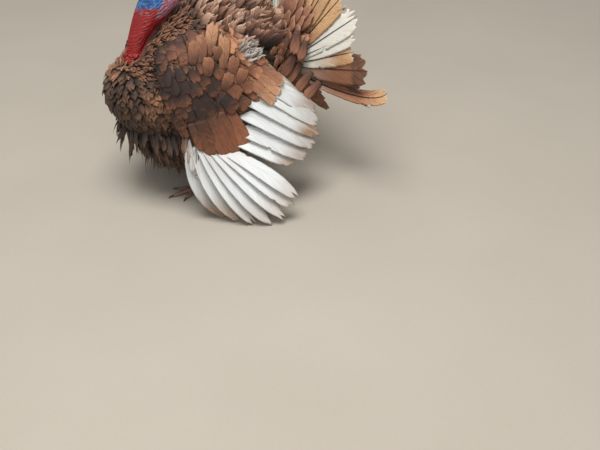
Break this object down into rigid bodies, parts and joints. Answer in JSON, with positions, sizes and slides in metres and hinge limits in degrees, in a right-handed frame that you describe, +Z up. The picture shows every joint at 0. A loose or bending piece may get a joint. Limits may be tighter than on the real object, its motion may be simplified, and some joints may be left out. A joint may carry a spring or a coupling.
{
  "type": "domestic turkey model",
  "caption": "Life-size still model of a rust-red domestic turkey tom in full strut, with lowered white wings, a fanned tail and bare red and blue neck and head.",
  "frame": {"origin": "middle of the outline on the floor, at the level of the soles", "axes": "+Z up, the bird faces -Y, and its left side is +X"},
  "size_m": [0.8194, 0.8142, 0.6937],
  "materials": {
    "body_feathers": "soft overlapping body feathers, dark brown on the breast to rust on the back",
    "covert_feathers": "rust-red wing coverts with thin dark edges",
    "hand_feathers": "short white feathers over the hand",
    "flight_feathers": "white flight feathers with dusty tan tips",
    "tail_feathers": "white to tan tail feathers with red-brown and grey-banded tips",
    "tail_covert_feathers": "brown tail coverts with pale rims",
    "under_tail_feathers": "pale loose feathers behind the tail",
    "red_skin": "bare wrinkled red skin with caruncles",
    "blue_skin": "bare finely wrinkled blue skin",
    "bill": "smooth pale horn",
    "eye": "wet dark brown eye",
    "leg_scales": "dusky pink-brown horny scales",
    "claw": "dark horn"
  },
  "bodies": {
    "root": {"bill_lower": "bill", "bill_upper": "bill", "claw_left_hind": "claw", "claw_left_inner": "claw", "claw_left_middle": "claw", "claw_left_outer": "claw", "claw_right_hind": "claw", "claw_right_inner": "claw", "claw_right_middle": "claw", "claw_right_outer": "claw", "eye_left": "eye", "eye_right": "eye", "foot_left": "leg_scales", "foot_right": "leg_scales", "head": "blue_skin", "neck": "red_skin", "shank_left": "leg_scales", "shank_right": "leg_scales", "snood": "red_skin", "spur_left": "claw", "spur_right": "claw", "tail_coverts_under": "under_tail_feathers", "tail_coverts_upper": "tail_covert_feathers", "tail_fan": "tail_feathers", "thigh_left": "body_feathers", "thigh_right": "body_feathers", "trunk": "body_feathers", "wing_left_arm": "covert_feathers", "wing_left_hand": "hand_feathers", "wing_left_primaries": "flight_feathers", "wing_left_secondaries": "flight_feathers", "wing_right_arm": "covert_feathers", "wing_right_hand": "hand_feathers", "wing_right_primaries": "flight_feathers", "wing_right_secondaries": "flight_feathers"}
  },
  "joints": []
}
